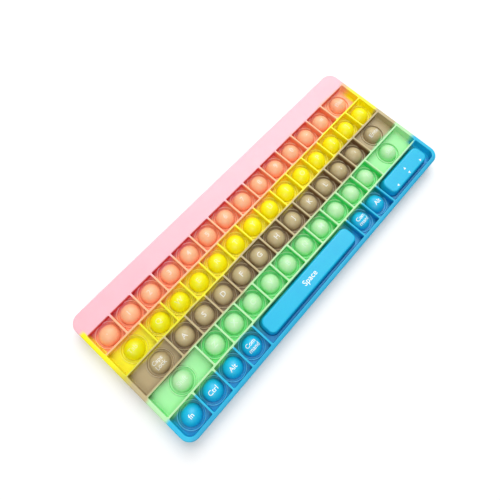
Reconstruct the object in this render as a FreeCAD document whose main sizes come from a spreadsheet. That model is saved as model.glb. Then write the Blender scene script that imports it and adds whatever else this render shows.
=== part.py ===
"""Push-bubble fidget keyboard in silicone: six coloured bands and the bubble keys that pop through them.

Millimetres, +Z up, +X along the key rows towards the enter key, +Y towards the plain strip at the back.
The origin is under the middle of the toy, on the flat that it rests on.

The six bands are one moulding on the real toy. Between an upright rim and upright cell walls lies a thin
web at half height, and each bubble key stands in a hole of that web. A key is a thin shell. It pops down
through its hole until its crown lies as far below the web as it stood above it.
"""

import math
import os

import FreeCAD
import Part
import Sketcher

DRIVING_SIZES = {
    "key_pitch": 18.5,  # one key unit, between rows and between letter keys
    "columns": 14.5,  # key units between the left and the right rim
    "rows": 5,
    "rim_width": 3.1,
    "strip_depth": 14.8,  # the plain strip behind the number row
    "corner_radius": 8.0,
    "frame_height": 12.0,
    "web_thickness": 1.2,
    "wall_thickness": 1.4,
    "dome_foot_radius": 7.1,  # where the dome meets the top of the web
    "skin_thickness": 0.9,
    "hinge_gap": 0.2,  # between a key and the edge of its hole
    "bead_inner_radius": 8.6,  # ring bead round each dome, which the walls break into four arcs
    "bead_width": 0.7,
    "bead_height": 0.35,
    "pad_flat_depth": 12.4,  # flat top of the space bar and the arrow pad, front to back
    "pad_end_margin": 5.1,  # from a pad's cell line to the end of its flat top
    "pad_corner_radius": 4.1,
    "pad_flare": 1.7,  # how far a pad's foot stands out from its flat top
}

# Cell walls of each row, counted in key units from the left rim.
ROW_WALLS = [
    [unit + 1.0 for unit in range(13)],
    [unit + 1.5 for unit in range(13)],
    [unit + 1.75 for unit in range(12)],
    [unit + 2.25 for unit in range(11)],
    [1.1, 2.1, 3.1, 4.1, 9.6, 10.6, 11.6],
]

BAND_NAMES = ["peach_band", "yellow_band", "khaki_band", "green_band", "blue_band"]

# Round keys of each row from left to right: the node that a key belongs to, and its centre in key units.
# Nodes that come twice hold two keys.
ROUND_KEYS = [
    [(name, unit + 0.5) for unit, name in enumerate((
        "key_backtick", "key_1", "key_2", "key_3", "key_4", "key_5", "key_6", "key_7",
        "key_8", "key_9", "key_0", "keys_minus_equals", "keys_minus_equals"))]
    + [("key_backspace", 13.75)],
    [("key_tab", 0.75)]
    + [(name, unit + 2.0) for unit, name in enumerate((
        "key_q", "key_w", "key_e", "key_r", "key_t", "key_y", "key_u", "key_i",
        "key_o", "key_p", "keys_brackets", "keys_brackets", "key_backslash"))],
    [("key_caps_lock", 1.03)]
    + [(name, unit + 2.25) for unit, name in enumerate((
        "key_a", "key_s", "key_d", "key_f", "key_g", "key_h", "key_j", "key_k",
        "key_l", "keys_semicolon_quote", "keys_semicolon_quote"))]
    + [("key_enter", 13.625)],
    [("keys_shift", 1.125)]
    + [(name, unit + 2.75) for unit, name in enumerate((
        "key_z", "key_x", "key_c", "key_v", "key_b", "key_n", "key_m",
        "keys_comma_period", "keys_comma_period", "key_slash"))]
    + [("keys_shift", 13.375)],
    [("key_fn", 0.55), ("key_ctrl", 1.6), ("keys_alt", 2.6), ("keys_command", 3.6),
     ("keys_command", 10.1), ("keys_alt", 11.1)],
]

# The two flat-topped pads of the front row: name, left and right cell line in key units.
PADS = [("key_space", 4.1, 9.6), ("key_arrows", 11.6, 14.5)]
FRONT_ROW = 4
TOUCHING = 0.01  # points nearer than this, in millimetres, count as one

doc = FreeCAD.newDocument("FidgetKeyboard")
sheet = doc.addObject("Spreadsheet::Sheet", "Sizes")
for line_number, (alias, value) in enumerate(DRIVING_SIZES.items(), start=1):
    sheet.set(f"A{line_number}", alias)
    sheet.set(f"B{line_number}", str(value))
    sheet.setAlias(f"B{line_number}", alias)
doc.recompute()

# Expressions on the sheet that several sub-parts share.
HALF_WIDTH = "(Sizes.columns * Sizes.key_pitch / 2)"
OUTER_HALF_WIDTH = f"({HALF_WIDTH} + Sizes.rim_width)"
HALF_DEPTH = "((Sizes.strip_depth + Sizes.rows * Sizes.key_pitch + Sizes.rim_width) / 2)"
HALF_WALL = "(Sizes.wall_thickness / 2)"
WEB_BOTTOM = "((Sizes.frame_height - Sizes.web_thickness) / 2)"
WEB_TOP = "((Sizes.frame_height + Sizes.web_thickness) / 2)"
DOME_RISE = f"(Sizes.frame_height - {WEB_TOP})"
DOME_SPHERE = f"((Sizes.dome_foot_radius ^ 2 + {DOME_RISE} ^ 2) / (2 * {DOME_RISE}))"
INNER_CORNER = "(Sizes.corner_radius - Sizes.rim_width)"


def across(units):
    """Expression for X at so many key units from the left rim."""
    return f"(-{HALF_WIDTH} + {units} * Sizes.key_pitch)"


def row_line(row):
    """Expression for Y of the middle of the wall behind that row, and of the front rim's inner face."""
    return f"({HALF_DEPTH} - Sizes.strip_depth - {row} * Sizes.key_pitch)"


def row_middle(row):
    """Expression for Y of the middle of a row of keys."""
    return row_line(row + 0.5)


def cell_back(row):
    """Expression for Y of the back face of a row's cells."""
    return f"({row_line(row)} - {HALF_WALL})"


def cell_front(row):
    """Expression for Y of the front face of a row's cells."""
    if row == FRONT_ROW:
        return row_line(row + 1)
    return f"({row_line(row + 1)} + {HALF_WALL})"


def bind(item, **expressions):
    """Binds properties of an object to expressions on the sheet."""
    paths = {"x": "Placement.Base.x", "y": "Placement.Base.y", "z": "Placement.Base.z"}
    for key, expression in expressions.items():
        item.setExpression(paths.get(key, key), expression)
    return item


def block(name, x_span, y_span, z_span):
    """A box between two expressions on each axis."""
    item = doc.addObject("Part::Box", name)
    return bind(
        item,
        x=x_span[0], y=y_span[0], z=z_span[0],
        Length=f"{x_span[1]} - {x_span[0]}",
        Width=f"{y_span[1]} - {y_span[0]}",
        Height=f"{z_span[1]} - {z_span[0]}",
    )


def upright_cylinder(name, radius, x, y, z_span):
    """A vertical cylinder between two heights."""
    item = doc.addObject("Part::Cylinder", name)
    return bind(item, Radius=radius, Height=f"{z_span[1]} - {z_span[0]}", x=x, y=y, z=z_span[0])


def combine(kind, name, shapes):
    """A fusion or a compound of several objects."""
    item = doc.addObject(kind, name)
    setattr(item, "Links" if kind == "Part::Compound" else "Shapes", shapes)
    return item


def cut(name, base, tool):
    """One object with another taken away from it."""
    item = doc.addObject("Part::Cut", name)
    item.Base = base
    item.Tool = tool
    return item


def origin_plane(body, role):
    """One of a body's own origin planes."""
    return next(plane for plane in body.Origin.OriginFeatures if plane.Role == role)


def attached_sketch(body, name, role):
    """A sketch of a body on one of its origin planes."""
    sketch = body.newObject("Sketcher::SketchObject", name)
    sketch.AttachmentSupport = [(origin_plane(body, role), "")]
    sketch.MapMode = "FlatFace"
    return sketch


def drive(sketch, label, kind, drawn, expression):
    """A named size in a sketch: the size as drawn, and the expression that sets it."""
    number = sketch.addConstraint(Sketcher.Constraint(*kind, drawn))
    sketch.renameConstraint(number, label)
    sketch.setExpression(f"Constraints.{label}", expression)


def rounded_rectangle(sketch, length, width, radius):
    """A rounded rectangle about the sketch's origin, drawn roughly and then bound to three expressions."""
    corner = DRIVING_SIZES["pad_corner_radius"]
    half_width = DRIVING_SIZES["pad_flat_depth"] / 2
    half_length = DRIVING_SIZES["key_pitch"]
    right = half_length - corner
    top = half_width - corner
    vector = FreeCAD.Vector
    sides = [
        ((-right, -half_width), (right, -half_width)),
        ((half_length, -top), (half_length, top)),
        ((right, half_width), (-right, half_width)),
        ((-half_length, top), (-half_length, -top)),
    ]
    for start, end in sides:
        sketch.addGeometry(Part.LineSegment(vector(*start, 0), vector(*end, 0)), False)
    quarter_turn = math.pi / 2
    for index, (x, y) in enumerate([(right, -top), (right, top), (-right, top), (-right, -top)]):
        circle = Part.Circle(vector(x, y, 0), vector(0, 0, 1), corner)
        start = (index - 1) * quarter_turn
        sketch.addGeometry(Part.ArcOfCircle(circle, start, start + quarter_turn), False)
    constraint = Sketcher.Constraint
    for index in range(4):
        arc = 4 + index
        sketch.addConstraint(constraint("Tangent", index, 2, arc, 1))
        sketch.addConstraint(constraint("Tangent", arc, 2, (index + 1) % 4, 1))
    for index in range(3):
        sketch.addConstraint(constraint("Equal", 4 + index, 5 + index))
    for index, kind in enumerate(("Horizontal", "Vertical", "Horizontal", "Vertical")):
        sketch.addConstraint(constraint(kind, index))
    sketch.addConstraint(constraint("Symmetric", 4, 3, 6, 3, -1, 1))
    drive(sketch, "length", ("DistanceX", 3, 1, 1, 1), 2 * half_length, length)
    drive(sketch, "width", ("DistanceY", 0, 1, 2, 1), 2 * half_width, width)
    drive(sketch, "corner", ("Radius", 4), corner, radius)


def pad_prism(body, name, length, width, radius, height, taper=None):
    """A pad of a rounded rectangle, with walls that lean in by an angle where one is given."""
    sketch = attached_sketch(body, f"{name}Outline", "XY_Plane")
    rounded_rectangle(sketch, length, width, radius)
    pad = body.newObject("PartDesign::Pad", name)
    pad.Profile = sketch
    bind(pad, Length=height)
    if taper is not None:
        bind(pad, TaperAngle=taper)
    return pad


def round_key_body(name, x, y):
    """A dome shell: a ring-shaped profile on a sphere, turned about the key's own axis."""
    body = doc.addObject("PartDesign::Body", name)
    sketch = attached_sketch(body, f"{name}Profile", "XZ_Plane")
    vector = FreeCAD.Vector
    crown = DRIVING_SIZES["frame_height"]
    skin = DRIVING_SIZES["skin_thickness"]
    foot = (crown - DRIVING_SIZES["web_thickness"]) / 2
    rise = crown - foot - DRIVING_SIZES["web_thickness"]
    sphere = (DRIVING_SIZES["dome_foot_radius"] ** 2 + rise ** 2) / (2 * rise)
    centre = crown - sphere
    foot_radius = math.sqrt(sphere ** 2 - (centre - foot) ** 2)
    foot_angle = math.atan2(foot - centre, foot_radius)
    outer = Part.Circle(vector(0, centre, 0), vector(0, 0, 1), sphere)
    inner = Part.Circle(vector(0, centre, 0), vector(0, 0, 1), sphere - skin)
    sketch.addGeometry(Part.ArcOfCircle(outer, foot_angle, math.pi / 2), False)
    sketch.addGeometry(Part.ArcOfCircle(inner, foot_angle, math.pi / 2), False)
    for start, end in (((foot_radius - skin, foot), (foot_radius, foot)), ((0, crown - skin), (0, crown))):
        sketch.addGeometry(Part.LineSegment(vector(*start, 0), vector(*end, 0)), False)
    constraint = Sketcher.Constraint
    for pair in ((2, 1, 1, 1), (2, 2, 0, 1), (3, 1, 1, 2), (3, 2, 0, 2)):
        sketch.addConstraint(constraint("Coincident", *pair))
    sketch.addConstraint(constraint("PointOnObject", 0, 3, -2))
    sketch.addConstraint(constraint("Coincident", 0, 3, 1, 3))
    sketch.addConstraint(constraint("PointOnObject", 3, 1, -2))
    sketch.addConstraint(constraint("PointOnObject", 3, 2, -2))
    sketch.addConstraint(constraint("Horizontal", 2))
    drive(sketch, "sphere", ("Radius", 0), sphere, DOME_SPHERE)
    drive(sketch, "skin", ("DistanceY", 3, 1, 3, 2), skin, "Sizes.skin_thickness")
    drive(sketch, "crown", ("DistanceY", -1, 1, 3, 2), crown, "Sizes.frame_height")
    drive(sketch, "foot", ("DistanceY", -1, 1, 2, 2), foot, WEB_BOTTOM)
    turned = body.newObject("PartDesign::Revolution", f"{name}Dome")
    turned.Profile = sketch
    turned.ReferenceAxis = (sketch, ["V_Axis"])
    turned.Angle = 360
    bind(body, x=x, y=y)
    return body


def pad_key_body(name, left_line, right_line):
    """A flat-topped pad with leaning sides, hollow from below."""
    body = doc.addObject("PartDesign::Body", name)
    flat_length = f"(({right_line} - {left_line}) * Sizes.key_pitch - 2 * Sizes.pad_end_margin)"
    height = f"(Sizes.frame_height - {WEB_BOTTOM})"
    lean = f"atan(Sizes.pad_flare / {height})"
    pad_prism(
        body, f"{name}Shell",
        f"{flat_length} + 2 * Sizes.pad_flare",
        "Sizes.pad_flat_depth + 2 * Sizes.pad_flare",
        "Sizes.pad_corner_radius + Sizes.pad_flare",
        height, f"-{lean}",
    )
    hollow_outline = attached_sketch(body, f"{name}HollowOutline", "XY_Plane")
    rounded_rectangle(
        hollow_outline,
        f"{flat_length} + 2 * (Sizes.pad_flare - Sizes.skin_thickness)",
        "Sizes.pad_flat_depth + 2 * (Sizes.pad_flare - Sizes.skin_thickness)",
        "Sizes.pad_corner_radius + Sizes.pad_flare - Sizes.skin_thickness",
    )
    hollow = body.newObject("PartDesign::Pocket", f"{name}Hollow")
    hollow.Profile = hollow_outline
    hollow.Reversed = True
    bind(hollow, Length=f"{height} - Sizes.skin_thickness", TaperAngle=f"-{lean}")
    middle = (left_line + right_line) / 2
    bind(body, x=across(middle), y=row_middle(FRONT_ROW), z=WEB_BOTTOM)
    return body


def pad_hole(name, left_line, right_line):
    """The hole in the web that a pad passes through."""
    body = doc.addObject("PartDesign::Body", name)
    reach = "2 * (Sizes.pad_flare + Sizes.hinge_gap)"
    pad_prism(
        body, f"{name}Prism",
        f"({right_line} - {left_line}) * Sizes.key_pitch - 2 * Sizes.pad_end_margin + {reach}",
        f"Sizes.pad_flat_depth + {reach}",
        "Sizes.pad_corner_radius + Sizes.pad_flare + Sizes.hinge_gap",
        "Sizes.frame_height",
    )
    bind(body, x=across((left_line + right_line) / 2), y=row_middle(FRONT_ROW))
    return body


def rim_corner(name, side):
    """A quarter ring in the front corner of the rim: side is -1 for the left, 1 for the right."""
    x = f"{side} * ({OUTER_HALF_WIDTH} - Sizes.corner_radius)"
    y = f"-{HALF_DEPTH} + Sizes.corner_radius"
    parts = []
    for label, radius in (("Outside", "Sizes.corner_radius"), ("Inside", INNER_CORNER)):
        quarter = upright_cylinder(f"{name}{label}", radius, x, y, ("0", "Sizes.frame_height"))
        quarter.Angle = 90
        quarter.Placement.Rotation = FreeCAD.Rotation(FreeCAD.Vector(0, 0, 1), 180 if side < 0 else 270)
        parts.append(quarter)
    return cut(name, *parts)


def front_rim():
    """The front band's rim: two side bars, two corners and the front bar."""
    full_height = ("0", "Sizes.frame_height")
    side_span = (f"(-{HALF_DEPTH} + Sizes.corner_radius)", cell_back(FRONT_ROW))
    middle = f"({OUTER_HALF_WIDTH} - Sizes.corner_radius)"
    return [
        block("LeftFrontBar", (f"(-{OUTER_HALF_WIDTH})", f"(-{HALF_WIDTH})"), side_span, full_height),
        block("RightFrontBar", (HALF_WIDTH, OUTER_HALF_WIDTH), side_span, full_height),
        block("FrontBar", (f"(-{middle})", middle), (f"(-{HALF_DEPTH})", row_line(5)), full_height),
        rim_corner("LeftFrontCorner", -1),
        rim_corner("RightFrontCorner", 1),
    ]


def side_rims(row):
    """The left and right rim bars beside a row."""
    y_span = (cell_back(row + 1), cell_back(row))
    full_height = ("0", "Sizes.frame_height")
    return [
        block(f"LeftBar{row}", (f"(-{OUTER_HALF_WIDTH})", f"(-{HALF_WIDTH})"), y_span, full_height),
        block(f"RightBar{row}", (HALF_WIDTH, OUTER_HALF_WIDTH), y_span, full_height),
    ]


def cell_spans(row):
    """For each cell of a row from left to right, expressions for its left and right face."""
    lefts = [f"(-{HALF_WIDTH})"] + [f"({across(unit)} + {HALF_WALL})" for unit in ROW_WALLS[row]]
    rights = [f"({across(unit)} - {HALF_WALL})" for unit in ROW_WALLS[row]] + [HALF_WIDTH]
    return list(zip(lefts, rights))


def round_key_web(name, row, x_span, unit):
    """The web of a round key's cell: a thin plate with the key's hole in it and the ring bead on it."""
    y_span = (cell_front(row), cell_back(row))
    x = across(unit)
    y = row_middle(row)
    plate = block(f"{name}Plate", x_span, y_span, (WEB_BOTTOM, WEB_TOP))
    ring_span = (WEB_TOP, f"({WEB_TOP} + Sizes.bead_height)")
    outer_radius = "(Sizes.bead_inner_radius + Sizes.bead_width)"
    ring = cut(
        f"{name}Ring",
        upright_cylinder(f"{name}RingOutside", outer_radius, x, y, ring_span),
        upright_cylinder(f"{name}RingInside", "Sizes.bead_inner_radius", x, y, ring_span),
    )
    bead = doc.addObject("Part::Common", f"{name}Bead")
    bead.Base = ring
    bead.Tool = block(f"{name}Room", x_span, y_span, (WEB_BOTTOM, "Sizes.frame_height"))
    beaded = combine("Part::MultiFuse", f"{name}Beaded", [plate, bead])
    hole_radius = f"({DOME_SPHERE} + Sizes.hinge_gap)"
    hole = upright_cylinder(f"{name}Hole", hole_radius, x, y, ("0", "Sizes.frame_height"))
    return cut(name, beaded, hole)


def pad_web(name, x_span, pad):
    """The web of a pad's cell: a thin plate with the pad's hole in it."""
    y_span = (cell_front(FRONT_ROW), cell_back(FRONT_ROW))
    plate = block(f"{name}Plate", x_span, y_span, (WEB_BOTTOM, WEB_TOP))
    return cut(name, plate, pad_hole(f"{name}Hole", *pad))


def row_webs(row, corners):
    """The webs of a row's cells, one key in each. The front row's end webs fit into the rim's corners."""
    owners = [(unit, None) for _, unit in ROUND_KEYS[row]]
    if row == FRONT_ROW:
        owners += [((left + right) / 2, (left, right)) for _, left, right in PADS]
    owners.sort(key=lambda owner: owner[0])
    webs = []
    for index, (x_span, (unit, pad)) in enumerate(zip(cell_spans(row), owners)):
        name = f"Web{row}x{index}"
        webs.append(pad_web(name, x_span, pad) if pad else round_key_web(name, row, x_span, unit))
    if corners:
        webs[0] = cut("LeftCornerWeb", webs[0], corners[0])
        webs[-1] = cut("RightCornerWeb", webs[-1], corners[1])
    return webs


def cell_walls(row):
    """The full-height walls between a row's cells."""
    y_span = (cell_front(row), cell_back(row))
    return [
        block(
            f"Wall{row}x{index}",
            (f"({across(unit)} - {HALF_WALL})", f"({across(unit)} + {HALF_WALL})"),
            y_span,
            ("0", "Sizes.frame_height"),
        )
        for index, unit in enumerate(ROW_WALLS[row])
    ]


def band(row):
    """One row's coloured band: rim, webs, cell walls, and the wall in front of the row."""
    if row == FRONT_ROW:
        rims = front_rim()
        corners = rims[3:]
    else:
        wall_span = (cell_back(row + 1), cell_front(row))
        front_wall = block(
            f"FrontWall{row}", (f"(-{HALF_WIDTH})", HALF_WIDTH), wall_span, ("0", "Sizes.frame_height")
        )
        rims = side_rims(row) + [front_wall]
        corners = []
    return combine("Part::Compound", BAND_NAMES[row], row_webs(row, corners) + cell_walls(row) + rims)


def plain_strip():
    """The plain strip behind the number row, with its two rounded corners."""
    body = doc.addObject("PartDesign::Body", "pink_band")
    sketch = attached_sketch(body, "StripOutline", "XY_Plane")
    vector = FreeCAD.Vector
    half_length = DRIVING_SIZES["columns"] * DRIVING_SIZES["key_pitch"] / 2
    front = DRIVING_SIZES["rows"] * DRIVING_SIZES["key_pitch"] / 2
    back = front + DRIVING_SIZES["strip_depth"]
    places = [(-half_length, front), (half_length, front), (half_length, back), (-half_length, back)]
    corners = [vector(x, y, 0) for x, y in places]
    for start, end in zip(corners, corners[1:] + corners[:1]):
        sketch.addGeometry(Part.LineSegment(start, end), False)
    constraint = Sketcher.Constraint
    for index in range(4):
        sketch.addConstraint(constraint("Coincident", index, 2, (index + 1) % 4, 1))
    for index, kind in enumerate(("Vertical", "Horizontal", "Vertical"), start=1):
        sketch.addConstraint(constraint(kind, index))
    sketch.addConstraint(constraint("Symmetric", 0, 1, 0, 2, -2))
    drive(sketch, "length", ("DistanceX", 0, 1, 0, 2), 2 * half_length, f"2 * {OUTER_HALF_WIDTH}")
    drive(sketch, "front", ("DistanceY", -1, 1, 0, 1), front, cell_back(0))
    drive(sketch, "back", ("DistanceY", -1, 1, 2, 1), back, HALF_DEPTH)
    pad = body.newObject("PartDesign::Pad", "StripPad")
    pad.Profile = sketch
    bind(pad, Length="Sizes.frame_height")
    doc.recompute()
    back_face = pad.Shape.BoundBox.YMax
    upright_back_edges = [
        f"Edge{number}"
        for number, edge in enumerate(pad.Shape.Edges, start=1)
        if all(math.isclose(vertex.Y, back_face, abs_tol=TOUCHING) for vertex in edge.Vertexes)
        and math.isclose(edge.Vertexes[0].X, edge.Vertexes[1].X, abs_tol=TOUCHING)
    ]
    rounding = body.newObject("PartDesign::Fillet", "StripCorners")
    rounding.Base = (pad, upright_back_edges)
    bind(rounding, Radius="Sizes.corner_radius")
    body.Tip = rounding
    return body


def keys():
    """Every key: one object for each node, a pair where two keys share it."""
    groups = {}
    for row, row_keys in enumerate(ROUND_KEYS):
        for name, unit in row_keys:
            groups.setdefault(name, []).append((across(unit), row_middle(row)))
    made = []
    for name, places in groups.items():
        if len(places) == 1:
            made.append(round_key_body(name, *places[0]))
        else:
            sides = zip(("left", "right"), places)
            pair = [round_key_body(f"{name}_{side}", *place) for side, place in sides]
            made.append(combine("Part::Compound", name, pair))
    return made + [pad_key_body(*pad) for pad in PADS]


sub_parts = [plain_strip()] + [band(row) for row in range(len(BAND_NAMES))] + keys()
doc.recompute()

for item in doc.Objects:
    if "Invalid" in item.State or "Error" in item.State:
        raise RuntimeError(f"{item.Name} failed: {item.State}")
for item in sub_parts:
    if item.Shape.isNull() or not item.Shape.isValid() or not item.Shape.Solids:
        raise RuntimeError(f"{item.Label} has no valid solid")

os.makedirs("parts", exist_ok=True)
for item in sub_parts:
    item.Shape.exportStep(os.path.join("parts", f"{item.Label}.step"))
    box = item.Shape.BoundBox
    print(
        f"{item.Label}: {len(item.Shape.Solids)} solids, {item.Shape.Volume / 1000:.3f} cm3,"
        f" X {box.XMin:.2f}..{box.XMax:.2f}, Y {box.YMin:.2f}..{box.YMax:.2f},"
        f" Z {box.ZMin:.2f}..{box.ZMax:.2f}"
    )
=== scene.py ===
import math

import bmesh
import bpy
import numpy as np
from mathutils import Matrix, Vector
from mathutils.geometry import delaunay_2d_cdt


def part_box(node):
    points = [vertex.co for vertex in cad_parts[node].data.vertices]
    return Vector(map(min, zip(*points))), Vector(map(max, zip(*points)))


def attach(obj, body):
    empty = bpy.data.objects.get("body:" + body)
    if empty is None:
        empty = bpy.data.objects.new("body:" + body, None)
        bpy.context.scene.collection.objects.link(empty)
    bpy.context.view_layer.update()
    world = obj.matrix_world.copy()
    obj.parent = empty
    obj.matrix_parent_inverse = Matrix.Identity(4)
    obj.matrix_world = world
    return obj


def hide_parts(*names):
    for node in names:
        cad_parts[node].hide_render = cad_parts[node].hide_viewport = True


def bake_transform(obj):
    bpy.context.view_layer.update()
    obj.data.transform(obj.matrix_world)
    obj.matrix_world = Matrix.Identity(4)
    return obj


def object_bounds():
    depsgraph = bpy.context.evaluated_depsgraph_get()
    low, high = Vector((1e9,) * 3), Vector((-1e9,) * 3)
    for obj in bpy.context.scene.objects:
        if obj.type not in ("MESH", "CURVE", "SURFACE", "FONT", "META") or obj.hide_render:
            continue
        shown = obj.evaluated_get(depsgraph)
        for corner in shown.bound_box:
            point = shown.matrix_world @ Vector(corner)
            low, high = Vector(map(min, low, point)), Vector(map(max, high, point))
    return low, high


# The look of the push-bubble fidget keyboard: a colour-banded silicone board, its bubble keys and the studio.
# Sizes are in millimetres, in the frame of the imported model, unless a comment says otherwise. Meshes are made
# in metres. The board is one surface, cut into its six bands at the end. Each key is a thin skin with its
# legend set into it.

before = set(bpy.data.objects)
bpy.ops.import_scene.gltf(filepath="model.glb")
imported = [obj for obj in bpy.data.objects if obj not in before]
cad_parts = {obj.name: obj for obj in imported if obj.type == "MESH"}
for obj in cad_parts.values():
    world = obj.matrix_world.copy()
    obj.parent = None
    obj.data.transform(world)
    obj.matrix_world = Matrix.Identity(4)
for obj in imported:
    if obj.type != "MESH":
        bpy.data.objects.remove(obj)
cad_low, cad_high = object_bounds()
MM = 0.001

# The board
PITCH = 18.5
RIM_WIDTH = 3.1
WALL = 1.4
WEB = 1.2
OUTER_CORNER = 8.0
OUTER_EDGE = 1.1  # rounding along the outer edges
CELL_CORNER = 0.7
CELL_EDGE = 0.4  # rounding along the tops of the walls
CELL_DRAFT = 0.05
FLOOR_FILLET = 0.15
FILLET_BEND = 0.3  # where the fillet's middle point lies, as a share of its size
SMALLEST_CORNER = 0.05
NARROW_CELL = 1.2  # in pitches: narrower cells get more painted shade at the bottom
BEAD_CIRCLE = 8.95  # radius of the middle of a ring
BEAD_HALF = 0.42  # half a ring's width
BEAD_RISE = 0.75
BEAD_SINK = 0.02  # how far a ring's feet stand below the web's top

# The keys
DOME_FOOT = 7.1
DOME_SKIN = 0.7
HINGE_SHARE = 0.4  # skin thickness at a key's foot, as a share of that at its crown
HINGE_SINK = 0.45  # how far a key's foot stands below the web's top
FULL_SKIN_AT = 0.5  # from this share of a key's height up, its skin has its full thickness
PAD_FLAT_DEPTH = 12.4
PAD_CORNER = 4.1
PAD_FLARE = 1.7
PAD_EDGE = 0.9
PAD_FACE_MARGIN = 0.1  # from a pad's flat face to its rounded shoulder

# How finely shapes are divided
CIRCLE_STEPS = 64
CORNER_STEPS = 5
OUTER_CORNER_STEPS = 12
PAD_CORNER_STEPS = 8
EDGE_STEPS = 4
BEAD_STEPS = 8
DOME_STEPS = 8
CROWN_RINGS = 7
CROWN_SPOKES = 8
PAD_SIDE_STEPS = 4
PAD_GRID = 2  # spacing of the inner points of a pad's flat top
PAD_GRID_MARGIN = 2.5  # how far they keep from its ends
PAD_GRID_HALF_DEPTH = 4
SAME_SPOT = 1e-5  # points nearer than this are one
CUT_SLACK = 1e-7  # in metres: points this near to a cut lie on it

TOP = cad_high.z / MM
WEB_TOP = (TOP + WEB) / 2
WEB_BOTTOM = (TOP - WEB) / 2
OUTER_LEFT, OUTER_RIGHT = cad_low.x / MM, cad_high.x / MM
OUTER_FRONT, OUTER_BACK = cad_low.y / MM, cad_high.y / MM
LINE_0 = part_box("pink_band")[0].y / MM + WALL / 2
KEY_FOOT = WEB_TOP - HINGE_SINK
DOME_RISE = TOP - WEB_TOP
DOME_SPHERE = (DOME_FOOT ** 2 + DOME_RISE ** 2) / (2 * DOME_RISE)
DOME_CENTRE = TOP - DOME_SPHERE

# Depth profiles of the keys' holes: distance outside the dome's foot or the pad's flat top, and height. A
# shallow dish leads down to the hinge, and the last point is on the underside of the web.
ROUND_HOLE = [
    (1.55, WEB_TOP), (1.40, WEB_TOP - 0.06), (1.24, WEB_TOP - 0.30), (1.00, WEB_TOP - 0.50),
    (0.50, WEB_TOP - 0.58), (-0.05, WEB_TOP - 0.60), (-0.12, WEB_TOP - 0.70), (-0.14, WEB_BOTTOM + 0.2),
    (-0.06, WEB_BOTTOM + 0.05), (0.04, WEB_BOTTOM),
]
PAD_HOLE = [
    (1.92, WEB_TOP), (1.75, WEB_TOP - 0.08), (1.60, WEB_TOP - 0.36), (1.44, WEB_TOP - 0.54),
    (1.28, WEB_TOP - 0.62), (1.20, WEB_TOP - 0.78), (1.20, WEB_BOTTOM + 0.2), (1.28, WEB_BOTTOM + 0.05),
    (1.40, WEB_BOTTOM),
]

# Widths of the cells in pitches, row by row from the back
CELL_WIDTHS = [
    [1.0] * 13 + [1.5],
    [1.5] + [1.0] * 13,
    [1.75] + [1.0] * 11 + [1.75],
    [2.25] + [1.0] * 10 + [2.25],
    [1.1, 1.0, 1.0, 1.0, 5.5, 1.0, 1.0, 2.9],
]
BANDS = ["pink", "peach", "yellow", "khaki", "green", "blue"]  # the first has no cells

# One entry for each cell: the node, and the legend on its key
KEYS = [
    [("key_backtick", "`")] + [(f"key_{digit}", digit) for digit in "1234567890"]
    + [("keys_minus_equals", "-"), ("keys_minus_equals", "="), ("key_backspace", "Back")],
    [("key_tab", "Tab")] + [(f"key_{letter.lower()}", letter) for letter in "QWERTYUIOP"]
    + [("keys_brackets", "["), ("keys_brackets", "]"), ("key_backslash", "\\")],
    [("key_caps_lock", "Caps\nLock")] + [(f"key_{letter.lower()}", letter) for letter in "ASDFGHJKL"]
    + [("keys_semicolon_quote", ";"), ("keys_semicolon_quote", "'"), ("key_enter", "Enter")],
    [("keys_shift", "Shift")] + [(f"key_{letter.lower()}", letter) for letter in "ZXCVBNM"]
    + [("keys_comma_period", ","), ("keys_comma_period", "."), ("key_slash", "/"), ("keys_shift", "Shift")],
    [("key_fn", "fn"), ("key_ctrl", "Ctrl"), ("keys_alt", "Alt"), ("keys_command", "Com\nmand"),
     ("key_space", "Space"), ("keys_command", "Com\nmand"), ("keys_alt", "Alt"), ("key_arrows", "")],
]
PADS = ("key_space", "key_arrows")
LEGEND_DISC = 5.6  # radius of the part of a dome that can hold a legend
LETTER_SIZE = 5.3
WORD_SIZE = 4.5
PAD_WORD_SIZE = 5.7
TWO_LINE_SIZE = 4.0
LINE_SPACING = 0.9
LETTER_STEPS = 3
LETTER_WEIGHT = 0.01  # how much letters are thickened, as a share of their size
ARROW_SIZE = 1.1
ARROWHEAD = [(1.0, 0.0), (-0.7, 0.95), (-0.7, -0.95)]  # pointing right, at a size of 1
# The arrows' places from the pad's middle, and their headings in degrees
ARROWS = [(0.3, 0.8, 90), (0.3, -3.9, 270), (-14.5, -3.9, 180), (14.8, -3.9, 0)]

# Material numbers: on the board, 0 is the plain silicone. On a key, 0 is the skin.
RIDGE = 1
# the silicone with more painted shade, at the bottoms of narrow cells and pads
SHADED = 2
INK = 1

# Places in a list of corner radii, which run from the back right by way of the back left
FRONT_LEFT = 2
FRONT_RIGHT = 3


# Shapes

def row_line(row):
    """Y of the middle of the wall behind a row, and of the front rim's inner face."""
    return LINE_0 - row * PITCH


def rounded_outline(left, right, front, back, radii, inset, steps=CORNER_STEPS):
    """Counter-clockwise outline of a rounded rectangle, pulled in by inset, from its back right corner."""
    corners = [(right, back, -1, -1), (left, back, 1, -1), (left, front, 1, 1), (right, front, -1, 1)]
    outline = []
    for turn, ((x, y, to_x, to_y), radius) in enumerate(zip(corners, radii)):
        rest = max(radius - inset, SMALLEST_CORNER)
        centre_x = x + to_x * (inset + rest)
        centre_y = y + to_y * (inset + rest)
        for step in range(steps + 1):
            angle = (turn + step / steps) * math.pi / 2
            outline.append((centre_x + rest * math.cos(angle), centre_y + rest * math.sin(angle)))
    return outline


def circle_outline(x, y, radius, steps=CIRCLE_STEPS):
    """Counter-clockwise outline of a circle."""
    turns = [2 * math.pi * step / steps for step in range(steps)]
    return [(x + radius * math.cos(turn), y + radius * math.sin(turn)) for turn in turns]


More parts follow.
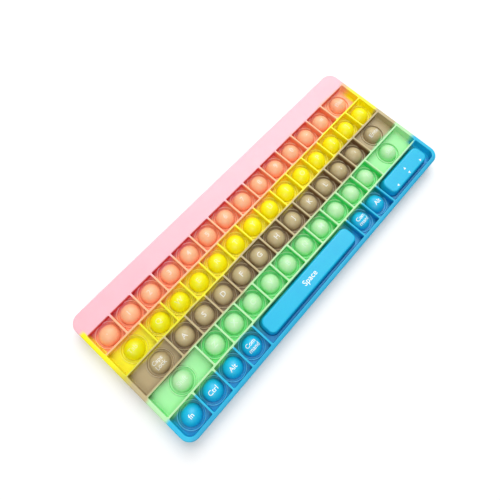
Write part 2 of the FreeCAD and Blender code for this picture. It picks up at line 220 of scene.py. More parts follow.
def edge_profile(radius):
    """A quarter round along an edge: inset and drop at each step, from the flat top to the upright face."""
    angles = [math.pi / 2 * step / EDGE_STEPS for step in range(EDGE_STEPS + 1)]
    return [(radius * (1 - math.sin(angle)), radius * (1 - math.cos(angle))) for angle in angles]


def inside(spots, outline):
    """For each spot, whether it lies inside an outline."""
    found = np.zeros(len(spots), bool)
    x, y = spots[:, 0], spots[:, 1]
    for (x0, y0), (x1, y1) in zip(outline, outline[1:] + outline[:1]):
        if y0 == y1:
            continue
        crossing = x0 + (y - y0) * (x1 - x0) / (y1 - y0)
        found ^= ((y0 > y) != (y1 > y)) & (x < crossing)
    return found


def triangulated(outlines, loose):
    """Triangles between outlines and loose points: all points, where each comes from, and the triangles."""
    flat = [Vector(point) for outline in outlines for point in outline]
    edges = []
    start = 0
    for outline in outlines:
        count = len(outline)
        edges += [(start + index, start + (index + 1) % count) for index in range(count)]
        start += count
    flat += [Vector(point) for point in loose]
    points, _, triangles, sources, _, _ = delaunay_2d_cdt(flat, edges, [], 0, SAME_SPOT)
    return points, sources, triangles


class Surface:
    """Points and faces of one mesh, gathered loop by loop, with the faces' material numbers other than 0."""

    def __init__(self):
        self.points = []
        self.faces = []
        self.finishes = {}

    def loop(self, outline, height):
        """Adds an outline's points at one height and gives their numbers."""
        start = len(self.points)
        self.points += [(x, y, height) for x, y in outline]
        return list(range(start, len(self.points)))

    def run(self, loops, flip=False):
        """Joins loops of equal length, one after the other, with four-sided faces."""
        for near, far in zip(loops, loops[1:]):
            count = len(near)
            for index in range(count):
                following = (index + 1) % count
                face = [near[index], near[following], far[following], far[index]]
                self.faces.append(face[::-1] if flip else face)

    def finish_from(self, first, number):
        """Gives the faces from first on a material number."""
        self.finishes.update(dict.fromkeys(range(first, len(self.faces)), number))

    def fill(self, rims, height_at, flip=False, marks=(), loose=()):
        """Fills the first rim with triangles, less the other rims.

        Triangles inside a mark are inked. Marks and loose points are inner points, and lie at height_at.
        """
        known = [number for rim in rims for number in rim]
        outlines = [[self.points[number][:2] for number in rim] for rim in rims]
        points, sources, triangles = triangulated(outlines + list(marks), loose)
        middles = np.array([[sum(points[corner][axis] for corner in triangle) / 3 for axis in (0, 1)]
                            for triangle in triangles])
        wanted = inside(middles, outlines[0])
        for outline in outlines[1:]:
            wanted &= ~inside(middles, outline)
        inked = np.zeros(len(middles), bool)
        for mark in marks:
            inked |= inside(middles, mark)
        numbers = []
        for point, source in zip(points, sources):
            old = [number for number in source if number < len(known)]
            if old:
                numbers.append(known[old[0]])
            else:
                numbers.append(len(self.points))
                self.points.append((point.x, point.y, height_at(point.x, point.y)))
        for triangle, is_wanted, is_inked in zip(triangles, wanted, inked):
            if not is_wanted:
                continue
            if is_inked:
                self.finishes[len(self.faces)] = INK
            face = [numbers[corner] for corner in triangle]
            self.faces.append(face[::-1] if flip else face)

    def mesh(self, name):
        """The gathered surface as a smooth mesh in metres."""
        mesh = bpy.data.meshes.new(name)
        mesh.from_pydata([(x * MM, y * MM, z * MM) for x, y, z in self.points], [], self.faces)
        for polygon in mesh.polygons:
            polygon.use_smooth = True
            polygon.material_index = self.finishes.get(polygon.index, 0)
        return mesh


def legend_marks(text, size, x, y):
    """Flat outlines of a legend's filled shapes, centred on a point."""
    curve = bpy.data.curves.new("legend", "FONT")
    curve.body = text
    curve.size = size
    curve.align_x = "CENTER"
    curve.space_line = LINE_SPACING
    curve.resolution_u = LETTER_STEPS
    curve.offset = LETTER_WEIGHT * size
    holder = bpy.data.objects.new("legend", curve)
    bpy.context.scene.collection.objects.link(holder)
    mesh = bpy.data.meshes.new_from_object(holder)
    spots = [vertex.co.xy for vertex in mesh.vertices]
    middle_x = (min(spot.x for spot in spots) + max(spot.x for spot in spots)) / 2
    middle_y = (min(spot.y for spot in spots) + max(spot.y for spot in spots)) / 2
    marks = []
    for polygon in mesh.polygons:
        corners = [spots[number] for number in polygon.vertices]
        mark = [(corner.x - middle_x + x, corner.y - middle_y + y) for corner in corners]
        marks.append(mark if polygon.normal.z > 0 else mark[::-1])
    bpy.data.objects.remove(holder)
    bpy.data.curves.remove(curve)
    bpy.data.meshes.remove(mesh)
    return marks


def arrow_marks(x, y):
    """The four small arrowheads on the arrow pad: up above the middle, the others in a row at the front."""
    marks = []
    for across, along, heading in ARROWS:
        turn = math.radians(heading)
        marks.append([
            (x + across + ARROW_SIZE * (px * math.cos(turn) - py * math.sin(turn)),
             y + along + ARROW_SIZE * (px * math.sin(turn) + py * math.cos(turn)))
            for px, py in ARROWHEAD
        ])
    return marks


# Where each cell and key is

def cell_radii(node):
    """Corner radii of a cell, larger where it lies in a corner of the board."""
    radii = [CELL_CORNER] * 4
    if node == "key_fn":
        radii[FRONT_LEFT] = OUTER_CORNER - RIM_WIDTH
    if node == "key_arrows":
        radii[FRONT_RIGHT] = OUTER_CORNER - RIM_WIDTH
    return radii


def cell_list():
    """Every cell: its row, its four faces, its node, its legend, and the middle of its key."""
    cells = []
    dome_low, dome_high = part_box("key_q")
    dome_half = (dome_high.x - dome_low.x) / 2
    for row, (widths, keys) in enumerate(zip(CELL_WIDTHS, KEYS)):
        names = [node for node, _ in keys]
        start = OUTER_LEFT + RIM_WIDTH
        for index, (width, (node, legend)) in enumerate(zip(widths, keys)):
            end = start + width * PITCH
            low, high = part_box(node)
            side = "right" if node in names[:index] else "left"
            is_paired = names.count(node) == 2
            middle_x = (low.x + high.x) / 2
            if is_paired:
                middle_x = high.x - dome_half if side == "right" else low.x + dome_half
            cells.append({
                "row": row,
                "left": start + (WALL / 2 if index else 0),
                "right": end - (WALL / 2 if index < len(widths) - 1 else 0),
                "back": row_line(row) - WALL / 2,
                "front": row_line(row + 1) + (WALL / 2 if row < len(KEYS) - 1 else 0),
                "radii": cell_radii(node),
                "node": node,
                "skin": f"skin_{node}_{side}" if is_paired else f"skin_{node}",
                "legend": legend,
                "x": middle_x / MM,
                "y": (low.y + high.y) / 2 / MM,
                "pad_half": (high.x - low.x) / 2 / MM - PAD_FLARE,
                "is_pad": node in PADS,
                "is_shaded": width < NARROW_CELL or node in PADS,
            })
            start = end
    return cells


def pad_outline(cell, outset):
    """The outline of a pad's flat top, pushed out by outset."""
    left, right = cell["x"] - cell["pad_half"], cell["x"] + cell["pad_half"]
    front, back = cell["y"] - PAD_FLAT_DEPTH / 2, cell["y"] + PAD_FLAT_DEPTH / 2
    return rounded_outline(left, right, front, back, [PAD_CORNER] * 4, -outset, PAD_CORNER_STEPS)


# The board

def key_hole(board, cell):
    """A key's hole through the web, with its dish, as loops from the top down."""
    if cell["is_pad"]:
        chain = [board.loop(pad_outline(cell, outset), height) for outset, height in PAD_HOLE]
    else:
        chain = [
            board.loop(circle_outline(cell["x"], cell["y"], DOME_FOOT + outset), height)
            for outset, height in ROUND_HOLE
        ]
        ring_bead(board, cell)
    first = len(board.faces)
    board.run(chain)
    if cell["is_shaded"]:
        board.finish_from(first, SHADED)
    return chain


def in_wall(cell, corners):
    """Whether all corners of a face lie behind the same wall of a cell."""
    across = [x for x, _, _ in corners]
    along = [y for _, y, _ in corners]
    beside = min(across) > cell["right"] or max(across) < cell["left"]
    return beside or min(along) > cell["back"] or max(along) < cell["front"]


def ring_bead(board, cell):
    """The raised ring round a dome. It runs into the cell's walls, and faces inside them are left out."""
    loops = []
    for step in range(BEAD_STEPS + 1):
        angle = math.pi * step / BEAD_STEPS
        radius = BEAD_CIRCLE + BEAD_HALF * math.cos(angle)
        height = WEB_TOP + BEAD_RISE * math.sin(angle) - BEAD_SINK
        loops.append(board.loop(circle_outline(cell["x"], cell["y"], radius), height))
    first = len(board.faces)
    board.run(loops)
    ring = board.faces[first:]
    board.faces[first:] = [face for face in ring if not in_wall(cell, [board.points[spot] for spot in face])]
    board.finish_from(first, RIDGE)


def hollow(board, cell, hole, under):
    """A cell's walls and its web round a hole, on one side of the web. Gives the loop at the cell's mouth."""
    surface_height = 0.0 if under else TOP
    floor_height = WEB_BOTTOM if under else WEB_TOP
    out = 1 if under else -1
    sides = [cell["left"], cell["right"], cell["front"], cell["back"], cell["radii"]]
    loops = [
        board.loop(rounded_outline(*sides, -outset), surface_height + out * drop)
        for outset, drop in edge_profile(CELL_EDGE)
    ]
    fillet = [
        (CELL_DRAFT, FLOOR_FILLET),
        (CELL_DRAFT + FLOOR_FILLET * FILLET_BEND, FLOOR_FILLET * FILLET_BEND),
        (CELL_DRAFT + FLOOR_FILLET, 0.0),
    ]
    for inset, lift in fillet:
        loops.append(board.loop(rounded_outline(*sides, inset), floor_height - out * lift))
    board.run(loops, flip=under)
    first = len(board.faces)
    board.fill([loops[-1], hole], lambda x, y: floor_height, flip=under)
    if cell["is_shaded"]:
        board.finish_from(first, SHADED)
    return loops[0]


def board_surface(cells):
    """The whole board: both faces, the outer edge, every cell on both sides, and the holes in the web."""
    board = Surface()
    holes = [key_hole(board, cell) for cell in cells]
    outer = [OUTER_LEFT, OUTER_RIGHT, OUTER_FRONT, OUTER_BACK, [OUTER_CORNER] * 4]
    outlines = [
        (rounded_outline(*outer, inset, OUTER_CORNER_STEPS), drop) for inset, drop in edge_profile(OUTER_EDGE)
    ]
    upper = [board.loop(outline, TOP - drop) for outline, drop in outlines]
    lower = [board.loop(outline, drop) for outline, drop in reversed(outlines)]
    board.run(upper + lower, flip=True)
    mouths = [hollow(board, cell, chain[0], under=False) for cell, chain in zip(cells, holes)]
    board.fill([upper[0]] + mouths, lambda x, y: TOP)
    mouths = [hollow(board, cell, chain[-1], under=True) for cell, chain in zip(cells, holes)]
    board.fill([lower[-1]] + mouths, lambda x, y: 0.0, flip=True)
    return board


def mean_normals(whole):
    """For each point, the direction of the faces that meet there, where larger faces count for more."""
    whole.normal_update()
    whole.verts.index_update()
    leaning = [Vector() for _ in whole.verts]
    for face in whole.faces:
        weight = face.calc_area()
        for corner in face.verts:
            leaning[corner.index] += face.normal * weight
    return [normal.normalized() for normal in leaning]


def cut_into_bands(board):
    """The board's mesh, cut along the middle of each row wall, as one mesh for each band, back to front."""
    whole = bmesh.new()
    corners = [whole.verts.new((x * MM, y * MM, z * MM)) for x, y, z in board.points]
    for index, face in enumerate(board.faces):
        whole.faces.new([corners[number] for number in face]).material_index = board.finishes.get(index, 0)
    lines = [row_line(row) * MM for row in range(len(KEYS))]
    for line in lines:
        geometry = whole.verts[:] + whole.edges[:] + whole.faces[:]
        bmesh.ops.bisect_plane(
            whole, geom=geometry, dist=CUT_SLACK, plane_co=(0, line, 0), plane_no=(0, 1, 0)
        )
    normals = mean_normals(whole)
    groups = [{"points": {}, "faces": [], "materials": []} for _ in BANDS]
    for face in whole.faces:
        middle = face.calc_center_median().y
        group = groups[sum(middle < line for line in lines)]
        points = group["points"]
        group["faces"].append([points.setdefault(corner, len(points)) for corner in face.verts])
        group["materials"].append(face.material_index)
    meshes = []
    for name, group in zip(BANDS, groups):
        mesh = bpy.data.meshes.new(f"{name}_board")
        mesh.from_pydata([corner.co for corner in group["points"]], [], group["faces"])
        for polygon, number in zip(mesh.polygons, group["materials"]):
            polygon.use_smooth = True
            polygon.material_index = number
        mesh.normals_split_custom_set_from_vertices([normals[corner.index] for corner in group["points"]])
        meshes.append(mesh)
    whole.free()
    return meshes


# The keys

def dome_surface(cell):
    """A dome's outer skin, with its legend set into the crown."""
    x, y = cell["x"], cell["y"]
    dome = Surface()

    def height_at(px, py):
        return DOME_CENTRE + math.sqrt(DOME_SPHERE ** 2 - (px - x) ** 2 - (py - y) ** 2)

    first = math.asin(LEGEND_DISC / DOME_SPHERE)
    last = math.acos((KEY_FOOT - DOME_CENTRE) / DOME_SPHERE)
    rings = []
    for step in range(DOME_STEPS + 1):
        angle = first + (last - first) * step / DOME_STEPS
        outline = circle_outline(x, y, DOME_SPHERE * math.sin(angle))
        rings.append(dome.loop(outline, DOME_CENTRE + DOME_SPHERE * math.cos(angle)))
    loose = [(x, y)]
    for ring in range(1, CROWN_RINGS):
        loose += circle_outline(x, y, LEGEND_DISC * ring / CROWN_RINGS, CROWN_SPOKES * ring)
    text = cell["legend"]
    size = TWO_LINE_SIZE if "\n" in text else WORD_SIZE if len(text) > 1 else LETTER_SIZE
    dome.fill([rings[0]], height_at, marks=legend_marks(text, size, x, y), loose=loose)
    dome.run(rings, flip=True)
    return dome


def pad_surface(cell):
    """A pad's outer skin: flat top with its legend, rounded shoulder and leaning sides."""
    pad = Surface()
    lean = PAD_FLARE / (TOP - WEB_BOTTOM)
    loops = [pad.loop(pad_outline(cell, -PAD_EDGE - PAD_FACE_MARGIN), TOP)]
    for inset, drop in edge_profile(PAD_EDGE):
        loops.append(pad.loop(pad_outline(cell, lean * drop - inset), TOP - drop))
    for step in range(1, PAD_SIDE_STEPS + 1):
        share = step / PAD_SIDE_STEPS
        height = (TOP - PAD_EDGE) * (1 - share) + KEY_FOOT * share
        loops.append(pad.loop(pad_outline(cell, lean * (TOP - height)), height))
    x, y = cell["x"], cell["y"]
    marks = legend_marks(cell["legend"], PAD_WORD_SIZE, x, y) if cell["legend"] else arrow_marks(x, y)
    half_width = int(cell["pad_half"] - PAD_GRID_MARGIN)
    across = range(-half_width, half_width + 1, PAD_GRID)
    along = range(-PAD_GRID_HALF_DEPTH, PAD_GRID_HALF_DEPTH + 1, PAD_GRID)
    loose = [(x + right, y + back) for right in across for back in along]
    pad.fill([loops[0]], lambda px, py: TOP, marks=marks, loose=loose)
    pad.run(loops, flip=True)
    return pad


def add_piece(name, mesh, materials):
    """A new object for a mesh, with its materials."""
    for material in materials:
        mesh.materials.append(material)
    piece = bpy.data.objects.new(name, mesh)
    bpy.context.scene.collection.objects.link(piece)
    return piece


def add_key(cell, materials):
    """A key as a thin closed skin, thinner towards its foot."""
    node = cell["node"]
    surface = pad_surface(cell) if cell["is_pad"] else dome_surface(cell)
    piece = add_piece(cell["skin"], surface.mesh(cell["skin"]), materials)
    foot = KEY_FOOT * MM
    group = piece.vertex_groups.new(name="thickness")
    for vertex in piece.data.vertices:
        rise = (vertex.co.z - foot) / (TOP * MM - foot)
        share = HINGE_SHARE + (1 - HINGE_SHARE) * min(1.0, rise / FULL_SKIN_AT)
        group.add([vertex.index], share, "REPLACE")
    skin = piece.modifiers.new("skin", "SOLIDIFY")
    skin.thickness = DOME_SKIN * MM
    skin.offset = -1
    skin.vertex_group = "thickness"
    skin.material_offset = -1
    skin.material_offset_rim = -1
    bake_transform(piece)
    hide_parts(node)


# Materials. Colours are as a screen shows them, and each stop says how many rows in front of the number row's
# back wall it lies.

PINK = (251, 192, 203)
PEACH = (253, 188, 144)
YELLOW = (254, 242, 0)
KHAKI = (196, 180, 136)
GREEN = (187, 237, 179)
BLUE = (18, 190, 229)
OLIVE = (214, 204, 60)
LIME = (234, 231, 0)
# Painted shade: the deeper, darker colours that walls, cell floors and the keys' feet take in place of shadow
# and bounced light.
SHADE_PINK = (226, 62, 68)
SHADE_PEACH = (247, 144, 98)
SHADE_AMBER = (255, 202, 40)
SHADE_YELLOW = (236, 218, 0)
SHADE_KHAKI = (124, 92, 58)
SHADE_GREEN = (62, 222, 110)
SHADE_TEAL = (0, 138, 118)
SHADE_BLUE = (0, 138, 200)
RIM_BLUE = (12, 170, 212)

MIDDLE_STOPS = [
    (0.03, PINK), (0.20, PEACH), (0.99, PEACH), (1.07, YELLOW), (1.93, YELLOW), (2.02, KHAKI), (2.93, KHAKI),
    (3.03, GREEN), (4.03, GREEN), (4.12, BLUE), (4.90, BLUE), (5.06, RIM_BLUE),
]
# Painted shade colours, row by row
SHADE_STOPS = [
    (0.02, SHADE_PINK), (0.25, SHADE_PEACH), (0.97, SHADE_PEACH), (1.06, SHADE_AMBER), (1.35, SHADE_YELLOW),
    (1.98, SHADE_YELLOW), (2.10, SHADE_KHAKI), (2.95, SHADE_KHAKI), (3.08, SHADE_GREEN), (4.00, SHADE_GREEN),
    (4.12, SHADE_TEAL), (4.70, SHADE_BLUE),
]
LIME_STOPS = [(row, LIME if colour == YELLOW else colour) for row, colour in MIDDLE_STOPS]
LEFT_STOPS = [
    (-0.24, PINK), (-0.08, YELLOW), (1.40, YELLOW), (1.95, OLIVE), (2.35, KHAKI), (2.95, KHAKI),
    (3.10, GREEN), (3.92, GREEN), (4.06, BLUE),
]
RIGHT_STOPS = [
    (-0.05, PINK), (0.10, PEACH), (0.24, PEACH), (0.56, YELLOW), (1.85, YELLOW), (2.00, KHAKI), (2.92, KHAKI),
    (3.06, GREEN), (3.78, GREEN), (3.98, BLUE),
]
# How much of the print is left, row by row
INK_STOPS = [
    (0.5, 0.38), (1.1, 0.38), (1.2, 0.28), (2.0, 0.28), (2.2, 0.6), (3.0, 0.6), (3.2, 0.32), (4.0, 0.32),
    (4.2, 1.0),
]
RAMP_START = -1.0  # the row where the ramps begin
RAMP_ROWS = 6.5  # how many rows they span

PAINTED_HIGHLIGHT = (1.0, 0.98, 0.92, 1.0)  # painted highlight on the rings, a cream; linear, as are the colours below
PRINT = (0.93, 0.96, 0.98, 1.0)
FLOOR_TONES = ((0.94, 0.94, 0.94, 1.0), (0.96, 0.96, 0.96, 1.0))
FLOOR_SCALE = 8.0
FLOOR_BETWEEN = (0.2, 0.8)

# How the colours run together. Scales say how dense a pattern is in a metre.
SWING_SCALE, SWING_REACH = 42.0, 6.0
RIPPLE_SCALE, RIPPLE_REACH = 190.0, 1.4
SEAM_TILT = 0.007  # how far the joins between colours come forward for each step to the left
SIDE_WANDER = 0.5  # how much of the wandering the joins along the left and right rims have
LIME_UNTIL = 20.0  # X where the yellow stops being a little limy
LEFT_BLEED = 0.9  # half the width of the join along the left rim
RIGHT_BLEED = (3.5, 0.5)  # where the join along the right rim begins and ends, inside the rim's inner face
CLOUD_SCALE, CLOUD_DETAIL = 75.0, 4.0
CLOUD_BETWEEN = (0.3, 0.7)
RICHER = 1.08  # gamma between the clouds

# Where the painted shade shows: deeper, darker colours down in the cells and towards the keys' feet
SHADE_FROM = 0.15  # depth below a face
BOARD_SHADE_DEPTH = 2.2  # depth where they are fully there on the board
KEY_SHADE_DEPTH = 6.5  # and on a key
RIM_REACH = 2.0  # they keep this far from the board's outer faces, and end this far behind the first row line
RIM_FADE = 0.5
LEVEL_BETWEEN = (0.5, 0.95)  # Z of the normal, from leaning to level

# The surface
GRAIN_SCALE, GRAIN_DETAIL = 1500.0, 3.0
SKIN_ROUGHNESS = (0.34, 0.16)  # smoothest, and how much the grain adds
PRINT_ROUGHNESS = (0.45, 0.2)
WEAR_SCALE, WEAR_DETAIL = 2600.0, 3.0
WEAR_BETWEEN = (0.2, 0.45)
UNWORN = 0.8  # the share of the print that never wears off
WAVE_SCALE = 160.0
GRAIN_RELIEF = 0.02
WAVE_RELIEF = 0.25
BUMP_STRENGTH = 0.35
BUMP_HEIGHT = 0.4


def linear(colour):
    """A screen colour of 0 to 255 as the linear values that a shader takes."""
    parts = [part / 255 for part in colour]
    return tuple(part / 12.92 if part <= 0.04045 else ((part + 0.055) / 1.055) ** 2.4 for part in parts)


class Nodes:
    """Adds shader nodes to one material and links them."""

    def __init__(self, material):
        material.use_nodes = True
        self.tree = material.node_tree
        self.tree.nodes.clear()

    def add(self, kind, inputs=None, **settings):
        """A node with its settings. An input is either a value or another node's output."""
        node = self.tree.nodes.new(kind)
        for key, value in settings.items():
            setattr(node, key, value)
        for key, value in (inputs or {}).items():
            if isinstance(value, bpy.types.NodeSocket):
                self.tree.links.new(value, node.inputs[key])
            else:
                node.inputs[key].default_value = value
        return node

    def math(self, operation, *values):
        """The output of a Math node."""
        return self.add("ShaderNodeMath", dict(enumerate(values)), operation=operation).outputs[0]

    def scaled(self, value, factor, start):
        """A value times a factor, plus a start."""
        return self.math("ADD", self.math("MULTIPLY", value, factor), start)

    def between(self, value, low, high, smooth=False):
        """0 where a value is at low or beyond it, and 1 where it is at high or beyond it."""
        kind = "SMOOTHSTEP" if smooth else "LINEAR"
        node = self.add("ShaderNodeMapRange", {"Value": value, "From Min": low, "From Max": high},
                        interpolation_type=kind)
        return node.outputs["Result"]

    def noise(self, vector, scale, detail=2.0):
        """The 0 to 1 output of a noise texture."""
        return self.add("ShaderNodeTexNoise", {"Vector": vector, "Scale": scale, "Detail": detail}).outputs[0]

    def mix(self, share, first, second):
        """The colour between two colours."""
        node = self.add("ShaderNodeMix", data_type="RGBA")
        for socket, value in ((node.inputs[0], share), (node.inputs[6], first), (node.inputs[7], second)):
            if isinstance(value, bpy.types.NodeSocket):
                self.tree.links.new(value, socket)
            else:
                socket.default_value = value
        return node.outputs[2]

    def ramp(self, place, stops):
        """A colour ramp with stops between 0 and 1."""
        node = self.add("ShaderNodeValToRGB", {"Fac": place})
        elements = node.color_ramp.elements
        while len(elements) < len(stops):
            elements.new(1.0)
        for element, (position, colour) in zip(elements, stops):
            element.position = position
            element.color = (*colour, 1.0)
        return node.outputs["Color"]


def row_ramp(nodes, row, stops):
    """A colour ramp whose stops are counted in rows, over the rows that the ramps span."""
    colours = [(place, linear(value) if isinstance(value, tuple) else (value,) * 3) for place, value in stops]
    return nodes.ramp(row, [((place - RAMP_START) / RAMP_ROWS, colour) for place, colour in colours])


def wandering(nodes, place):
    """How far the joins between colours wander at each place, in metres: slow swings with small ripples."""
    swing = nodes.math("SUBTRACT", nodes.noise(place, SWING_SCALE), 0.5)
    ripple = nodes.math("SUBTRACT", nodes.noise(place, RIPPLE_SCALE), 0.5)
    swing = nodes.math("MULTIPLY", swing, SWING_REACH * MM)
    return nodes.math("ADD", swing, nodes.math("MULTIPLY", ripple, RIPPLE_REACH * MM))


def row_place(nodes, axes, shift):
    """The row that each place belongs to by its colour, from 0 where the ramps begin to 1 where they end."""
    tilt = nodes.math("MULTIPLY", axes[0], SEAM_TILT)
    along = nodes.math("ADD", axes[1], nodes.math("SUBTRACT", shift, tilt))
    forward = nodes.math("SUBTRACT", (LINE_0 - RAMP_START * PITCH) * MM, along)
    return nodes.math("DIVIDE", forward, RAMP_ROWS * PITCH * MM)


def painted_shade_share(nodes, axes, shade_depth, wall_shade, floor_shade):
    """How much painted shade shows: most deep down in the cells, more on upright walls than on level floors,
    and none near the board's outside.
    """
    depth = nodes.math("MINIMUM", axes[2], nodes.math("SUBTRACT", TOP * MM, axes[2]))
    inward = nodes.math("SUBTRACT", (LINE_0 + RIM_REACH) * MM, axes[1])
    for axis, sign, edge in ((1, 1, OUTER_FRONT), (0, 1, OUTER_LEFT), (0, -1, OUTER_RIGHT)):
        beyond = nodes.math("SUBTRACT", axes[axis], (edge + RIM_REACH * sign) * MM)
        inward = nodes.math("MINIMUM", inward, nodes.math("MULTIPLY", beyond, sign))
    sunk = nodes.between(depth, SHADE_FROM * MM, shade_depth * MM, smooth=True)
    sunk = nodes.math("MULTIPLY", sunk, nodes.between(inward, 0.0, RIM_FADE * MM))
    normal = nodes.add("ShaderNodeNewGeometry").outputs["Normal"]
    facing = nodes.add("ShaderNodeSeparateXYZ", {"Vector": normal}).outputs
    level = nodes.between(facing[2], *LEVEL_BETWEEN)
    return nodes.math("MULTIPLY", sunk, nodes.scaled(level, floor_shade - wall_shade, wall_shade))


def band_colour(nodes, row, sideways, painted_shade, highlight_share):
    """The colour of each place: that of its band, with painted shade making it deeper and darker inside the
    cells, a painted highlight mixed in where asked, and the rims at either side.
    """
    left_edge = (OUTER_LEFT + RIM_WIDTH) * MM
    right_edge = (OUTER_RIGHT - RIM_WIDTH) * MM
    begins, ends = RIGHT_BLEED
    near_left = nodes.between(sideways, left_edge + LEFT_BLEED * MM, left_edge - LEFT_BLEED * MM, smooth=True)
    near_right = nodes.between(sideways, right_edge - begins * MM, right_edge - ends * MM, smooth=True)
    limy = nodes.between(sideways, LIME_UNTIL * MM, OUTER_LEFT * MM, smooth=True)
    colour = nodes.mix(limy, row_ramp(nodes, row, MIDDLE_STOPS), row_ramp(nodes, row, LIME_STOPS))
    colour = nodes.mix(painted_shade, colour, row_ramp(nodes, row, SHADE_STOPS))
    if highlight_share:
        colour = nodes.mix(highlight_share, colour, PAINTED_HIGHLIGHT)
    colour = nodes.mix(near_left, colour, row_ramp(nodes, row, LEFT_STOPS))
    return nodes.mix(near_right, colour, row_ramp(nodes, row, RIGHT_STOPS))


def clouded(nodes, place, colour):
    """A colour that is a little richer between soft clouds."""
    cloud = nodes.between(nodes.noise(place, CLOUD_SCALE, CLOUD_DETAIL), *CLOUD_BETWEEN)
    richer = nodes.add("ShaderNodeGamma", {"Color": colour, "Gamma": RICHER}).outputs[0]
    return nodes.mix(cloud, richer, colour)


def bumps(nodes, place, grain):
    """The normal that a shader takes, with fine grain and soft waves."""
    waves = nodes.math("MULTIPLY", nodes.noise(place, WAVE_SCALE), WAVE_RELIEF)
    height = nodes.math("ADD", nodes.math("MULTIPLY", grain, GRAIN_RELIEF), waves)
    inputs = {"Height": height, "Strength": BUMP_STRENGTH, "Distance": BUMP_HEIGHT * MM}
    return nodes.add("ShaderNodeBump", inputs).outputs["Normal"]


def print_share(nodes, place, row):
    """How much of the print is left at each place."""
    cover = nodes.add("ShaderNodeSeparateColor", {"Color": row_ramp(nodes, row, INK_STOPS)}).outputs[0]
    kept = nodes.between(nodes.noise(place, WEAR_SCALE, WEAR_DETAIL), *WEAR_BETWEEN)
    return nodes.math("MULTIPLY", cover, nodes.scaled(kept, 1.0 - UNWORN, UNWORN))


def silicone(name, shade_depth, wall_shade, floor_shade, highlight_share=0.0, printed=False):
    """Satin silicone whose colour runs from band to band over the board, poured a little unevenly.

    Inside the cells painted shade makes the colour deeper and darker away from the board's two faces, down to
    the depth given. The two shade shares say how much of it walls and level floors take. The highlight share is
    how much painted highlight, a cream, goes into the colour.
    """
    material = bpy.data.materials.new(name)
    nodes = Nodes(material)
    place = nodes.add("ShaderNodeTexCoord").outputs["Object"]
    axes = nodes.add("ShaderNodeSeparateXYZ", {"Vector": place}).outputs
    shift = wandering(nodes, place)
    sideways = nodes.math("ADD", axes[0], nodes.math("MULTIPLY", shift, SIDE_WANDER))
    row = row_place(nodes, axes, shift)
    painted_shade = painted_shade_share(nodes, axes, shade_depth, wall_shade, floor_shade)
    colour = clouded(nodes, place, band_colour(nodes, row, sideways, painted_shade, highlight_share))
    grain = nodes.noise(place, GRAIN_SCALE, GRAIN_DETAIL)
    smoothest, grained = PRINT_ROUGHNESS if printed else SKIN_ROUGHNESS
    if printed:
        colour = nodes.mix(print_share(nodes, place, row), colour, PRINT)
    shader = nodes.add("ShaderNodeBsdfPrincipled", {
        "Base Color": colour,
        "Roughness": nodes.scaled(grain, grained, smoothest),
        "Normal": bumps(nodes, place, grain),
        "IOR": 1.52,
        "Subsurface Weight": 0.2,
        "Subsurface Radius": (1.0, 0.6, 0.4),
        "Subsurface Scale": 1.5 * MM,
    })
    nodes.add("ShaderNodeOutputMaterial", {"Surface": shader.outputs[0]})
    return material


def board_silicone():
    """The plain board: cell walls take the whole of the painted shade, and level webs a part of it."""
    return silicone("board_silicone", BOARD_SHADE_DEPTH, wall_shade=1.0, floor_shade=0.3)


def ridge_silicone():
    """The raised rings: a painted highlight makes them a little paler, and they take less painted shade."""
    return silicone("ridge_silicone", BOARD_SHADE_DEPTH, wall_shade=0.35, floor_shade=0.2, highlight_share=0.1)


def shaded_silicone():
    """The webs, dishes and holes of narrow cells and pads, which take more painted shade, as the walls shade
    them.
    """
    return silicone("shaded_silicone", BOARD_SHADE_DEPTH, wall_shade=1.0, floor_shade=0.7)


def key_silicone():
    """The keys' skins, with painted shade that makes them slowly deeper and darker towards the feet."""
    return silicone("key_silicone", KEY_SHADE_DEPTH, wall_shade=0.4, floor_shade=0.2)


def printed_legend():
    """A key's skin under its worn white print, with the same painted shade towards the feet."""
    return silicone("printed_legend", KEY_SHADE_DEPTH, wall_shade=0.4, floor_shade=0.2, printed=True)


def table_top():
    """A matt pale table top, a little uneven in tone."""
    material = bpy.data.materials.new("studio_floor")
    nodes = Nodes(material)
    place = nodes.add("ShaderNodeTexCoord").outputs["Object"]
    tone = nodes.between(nodes.noise(place, FLOOR_SCALE), *FLOOR_BETWEEN)
    colour = nodes.mix(tone, *FLOOR_TONES)
    shader = nodes.add("ShaderNodeBsdfPrincipled", {"Base Color": colour, "Roughness": 0.7})
    nodes.add("ShaderNodeOutputMaterial", {"Surface": shader.outputs[0]})
    return material


# The studio

FLOOR_HALF = 1500.0
FLOOR_GAP = 0.2  # how far the floor lies under the toy
CAMERA_AT = (-83.8, -40.1, 262.5)
VIEW_TILT = 16.79  # degrees from straight down
VIEW_HEADING = 33.16  # degrees from +X towards +Y
VIEW_ROLL = -9.10
LENS = 27.04
WORLD_STRENGTH = 0.27


def studio_floor():
    """A large pale table top under the toy."""
    mesh = bpy.data.meshes.new("studio_floor")
    half = FLOOR_HALF * MM
    corners = [(-half, -half, 0), (half, -half, 0), (half, half, 0), (-half, half, 0)]
    mesh.from_pydata(corners, [], [(0, 1, 2, 3)])
    floor = add_piece("studio_floor", mesh, [table_top()])
    floor.location.z = -FLOOR_GAP * MM


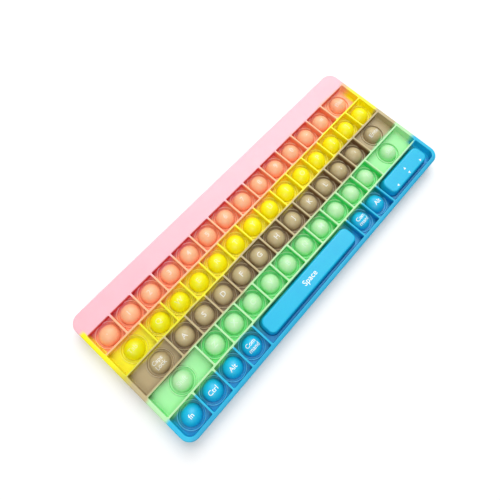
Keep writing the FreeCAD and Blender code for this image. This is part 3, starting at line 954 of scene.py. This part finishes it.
def add_camera():
    """The camera at the photograph's viewing angle."""
    tilt, heading, roll = (math.radians(angle) for angle in (VIEW_TILT, VIEW_HEADING, VIEW_ROLL))
    forward = Vector((
        math.sin(tilt) * math.cos(heading), math.sin(tilt) * math.sin(heading), -math.cos(tilt)
    ))
    level = forward.cross(Vector((0, 0, 1))).normalized()
    right = math.cos(roll) * level + math.sin(roll) * forward.cross(level)
    up = right.cross(forward)
    camera = bpy.data.objects.new("camera", bpy.data.cameras.new("camera"))
    camera.data.lens = LENS
    camera.data.clip_start = 0.01
    camera.data.clip_end = 10.0
    turned = Matrix((right, up, -forward)).transposed().to_4x4()
    camera.matrix_world = Matrix.Translation(Vector(CAMERA_AT) * MM) @ turned
    bpy.context.scene.collection.objects.link(camera)
    bpy.context.scene.camera = camera


def add_softbox(name, direction, distance, size, power):
    """A square area light that faces the middle of the toy, with its distance and size in metres."""
    light = bpy.data.lights.new(name, "AREA")
    light.size = size
    light.energy = power
    lamp = bpy.data.objects.new(name, light)
    lamp.location = Vector(direction).normalized() * distance
    lamp.rotation_euler = (-lamp.location).to_track_quat("-Z", "Y").to_euler()
    bpy.context.scene.collection.objects.link(lamp)


def add_lights():
    """White surroundings, a large softbox over the back right, and a weak one opposite."""
    world = bpy.data.worlds.new("studio")
    world.use_nodes = True
    surroundings = world.node_tree.nodes["Background"]
    surroundings.inputs["Color"].default_value = (1.0, 1.0, 1.0, 1.0)
    surroundings.inputs["Strength"].default_value = WORLD_STRENGTH
    bpy.context.scene.world = world
    add_softbox("key_light", direction=(0.54, 0.48, 1.0), distance=1.6, size=1.4, power=23.5)
    add_softbox("fill_light", direction=(-0.6, -0.4, 1.0), distance=1.4, size=0.9, power=7.5)
    bpy.context.scene.view_settings.view_transform = "Standard"


# Making

board_materials = [board_silicone(), ridge_silicone(), shaded_silicone()]
key_materials = [key_silicone(), printed_legend()]
all_cells = cell_list()
for band, band_mesh in zip(BANDS, cut_into_bands(board_surface(all_cells))):
    band_piece = add_piece(f"{band}_board", band_mesh, board_materials)
    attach(band_piece, "frame")
    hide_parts(f"{band}_band")
for key_cell in all_cells:
    add_key(key_cell, key_materials)
studio_floor()
add_camera()
add_lights()
